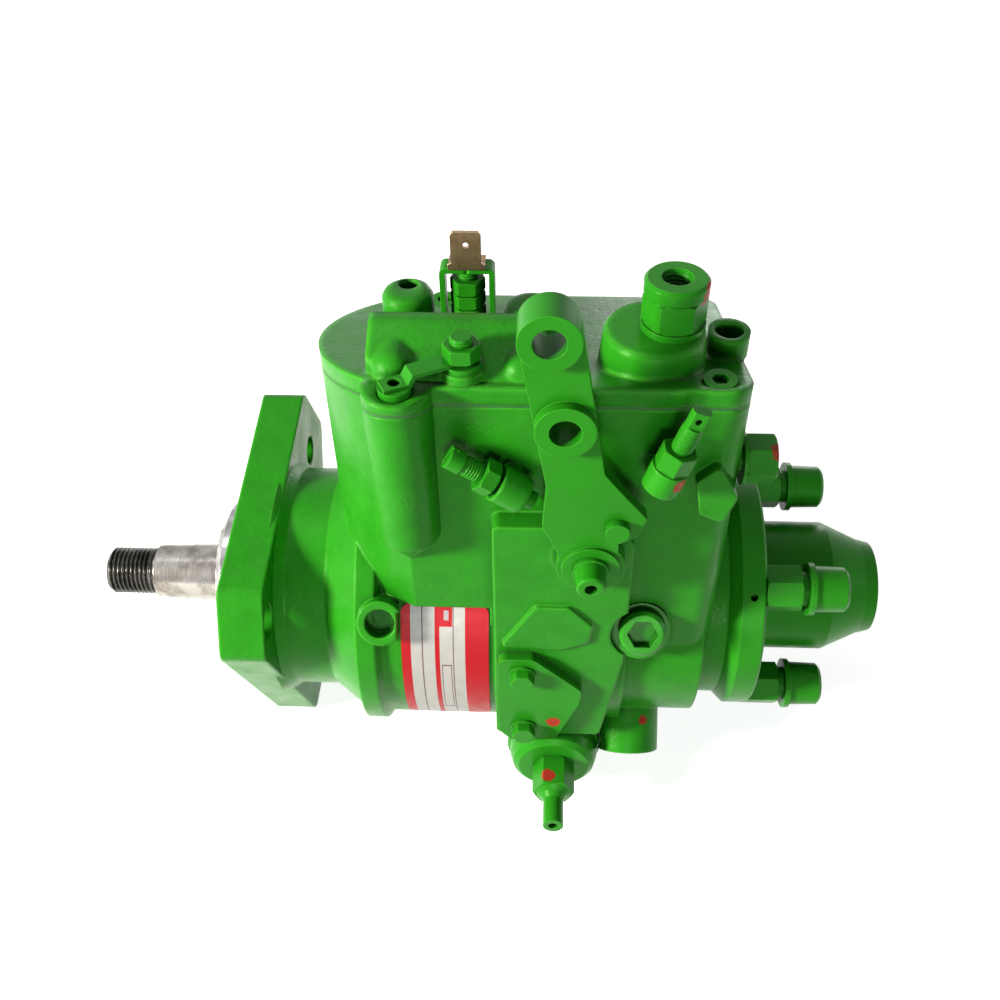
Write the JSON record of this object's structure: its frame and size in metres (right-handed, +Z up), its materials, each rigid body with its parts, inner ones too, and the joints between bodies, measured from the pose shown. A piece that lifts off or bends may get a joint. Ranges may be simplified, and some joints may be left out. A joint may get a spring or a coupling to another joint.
{
  "type": "diesel injection pump",
  "caption": "Rotary diesel injection pump with a flange mount, threaded drive shaft, governor cover, throttle lever and capped outlets round its rear head.",
  "frame": {"origin": "centre of the mounting flange's front face, on the drive shaft's axis", "axes": "+X along the shaft from the drive end to the inlet end, +Z up to the governor cover, -Y to the throttle lever's side"},
  "size_m": [0.2597, 0.1304, 0.2029],
  "materials": {
    "green_paint": "gloss",
    "turned_steel": "satin",
    "pilot_chrome": "gloss",
    "inner_steel": "satin",
    "inner_iron": "matte",
    "bearing_bronze": "satin",
    "spade_brass": "satin",
    "gasket_sheet": "matte",
    "seal_rubber": "matte",
    "coil_plastic": "matte",
    "label_foil": "satin"
  },
  "bodies": {
    "housing": {"pump_housing": "green_paint", "pilot_tube": "pilot_chrome", "shaft_bush": "bearing_bronze", "shaft_seals": "seal_rubber", "arm_pin": "inner_steel", "governor_spring": "inner_steel", "advance_spring": "inner_steel", "advance_plug": "green_paint", "trimmer_body": "green_paint", "trimmer_screw": "green_paint", "timing_gasket": "gasket_sheet", "timing_cover": "green_paint", "timing_cover_screws": "green_paint", "head_locating_screw": "green_paint", "head_lock_screws": "green_paint", "lock_screw_washers": "green_paint", "hydraulic_head": "green_paint", "head_seal_rings": "seal_rubber", "discharge_fittings": "green_paint", "fitting_washers": "green_paint", "shipping_caps": "green_paint", "end_cap": "green_paint", "pump_liner": "inner_steel", "pump_end_plate": "inner_iron", "regulator_spring": "inner_steel", "governor_cover": "green_paint", "cover_gasket": "gasket_sheet", "cover_screws": "green_paint", "return_connector": "green_paint", "terminal_bracket": "green_paint", "spade_terminal": "spade_brass", "terminal_studs": "green_paint", "terminal_insulators": "coil_plastic", "terminal_nuts": "green_paint", "ground_strap": "green_paint", "shutoff_coil": "coil_plastic", "idle_screws": "green_paint", "idle_locknuts": "green_paint", "label_plate": "label_foil", "vent_plug": "green_paint"},
    "drive": {"drive_shaft": "turned_steel", "weight_cage": "inner_steel", "governor_weights": "inner_steel", "distributor_rotor": "inner_steel", "pumping_plungers": "inner_steel", "roller_shoes": "inner_steel", "cam_rollers": "inner_steel", "pump_blades": "inner_steel"},
    "sleeve": {"thrust_sleeve": "inner_steel"},
    "arm": {"governor_arm": "inner_steel"},
    "link": {"governor_link": "inner_steel"},
    "valve": {"metering_valve": "inner_steel"},
    "cam": {"cam_ring": "inner_steel", "cam_pin": "inner_steel"},
    "advance": {"advance_piston": "inner_steel"},
    "throttle": {"throttle_shaft": "green_paint", "throttle_lever": "green_paint", "lever_clamp_screw": "green_paint"},
    "regulator": {"regulator_piston": "inner_steel"},
    "armature": {"shutoff_armature": "inner_steel"}
  },
  "joints": [
    {"name": "drive_spin", "type": "hinge", "parent": "housing", "child": "drive", "pos_m": [0, 0, 0], "axis": [1, 0, 0], "continuous": true},
    {"name": "advance_slide", "type": "slide", "parent": "housing", "child": "advance", "axis": [0, 1, 0], "range_m": [0, 0.006], "stiffness_N_per_m": 6000, "deforming": ["advance_spring"]},
    {"name": "cam_turn", "type": "hinge", "parent": "housing", "child": "cam", "pos_m": [0.103, 0, 0], "axis": [1, 0, 0], "range_deg": [0, 8.59]},
    {"name": "sleeve_slide", "type": "slide", "parent": "housing", "child": "sleeve", "axis": [1, 0, 0], "range_m": [0, 0.003], "stiffness_N_per_m": 2500},
    {"name": "arm_turn", "type": "hinge", "parent": "housing", "child": "arm", "pos_m": [0.0697, 0, 0.038], "axis": [0, 1, 0], "range_deg": [-7.17, 0]},
    {"name": "link_slide", "type": "slide", "parent": "housing", "child": "link", "axis": [1, 0, 0], "range_m": [-0.00426, 0]},
    {"name": "valve_turn", "type": "hinge", "parent": "housing", "child": "valve", "pos_m": [0.128, 0, 0.05], "axis": [0, 0, 1], "range_deg": [-24.4, 0]},
    {"name": "throttle_turn", "type": "hinge", "parent": "housing", "child": "throttle", "pos_m": [0.111, 0, 0.06], "axis": [0, 1, 0], "range_deg": [0, 13], "deforming": ["governor_spring"]},
    {"name": "regulator_slide", "type": "slide", "parent": "housing", "child": "regulator", "axis": [1, 0, 0], "range_m": [0, 0.003], "stiffness_N_per_m": 1500, "deforming": ["regulator_spring"]},
    {"name": "armature_turn", "type": "hinge", "parent": "housing", "child": "armature", "pos_m": [0.10515, 0.018, 0.079], "axis": [0, 1, 0], "range_deg": [-8, 0], "stiffness_Nm_per_rad": 0.4}
  ],
  "couplings": [
    {"joint": "cam_turn", "follows": "advance_slide", "rad_per_m": 25},
    {"joint": "arm_turn", "follows": "sleeve_slide", "rad_per_m": -41.667},
    {"joint": "link_slide", "follows": "sleeve_slide", "ratio": -1.4167},
    {"joint": "valve_turn", "follows": "sleeve_slide", "rad_per_m": -141.67}
  ]
}
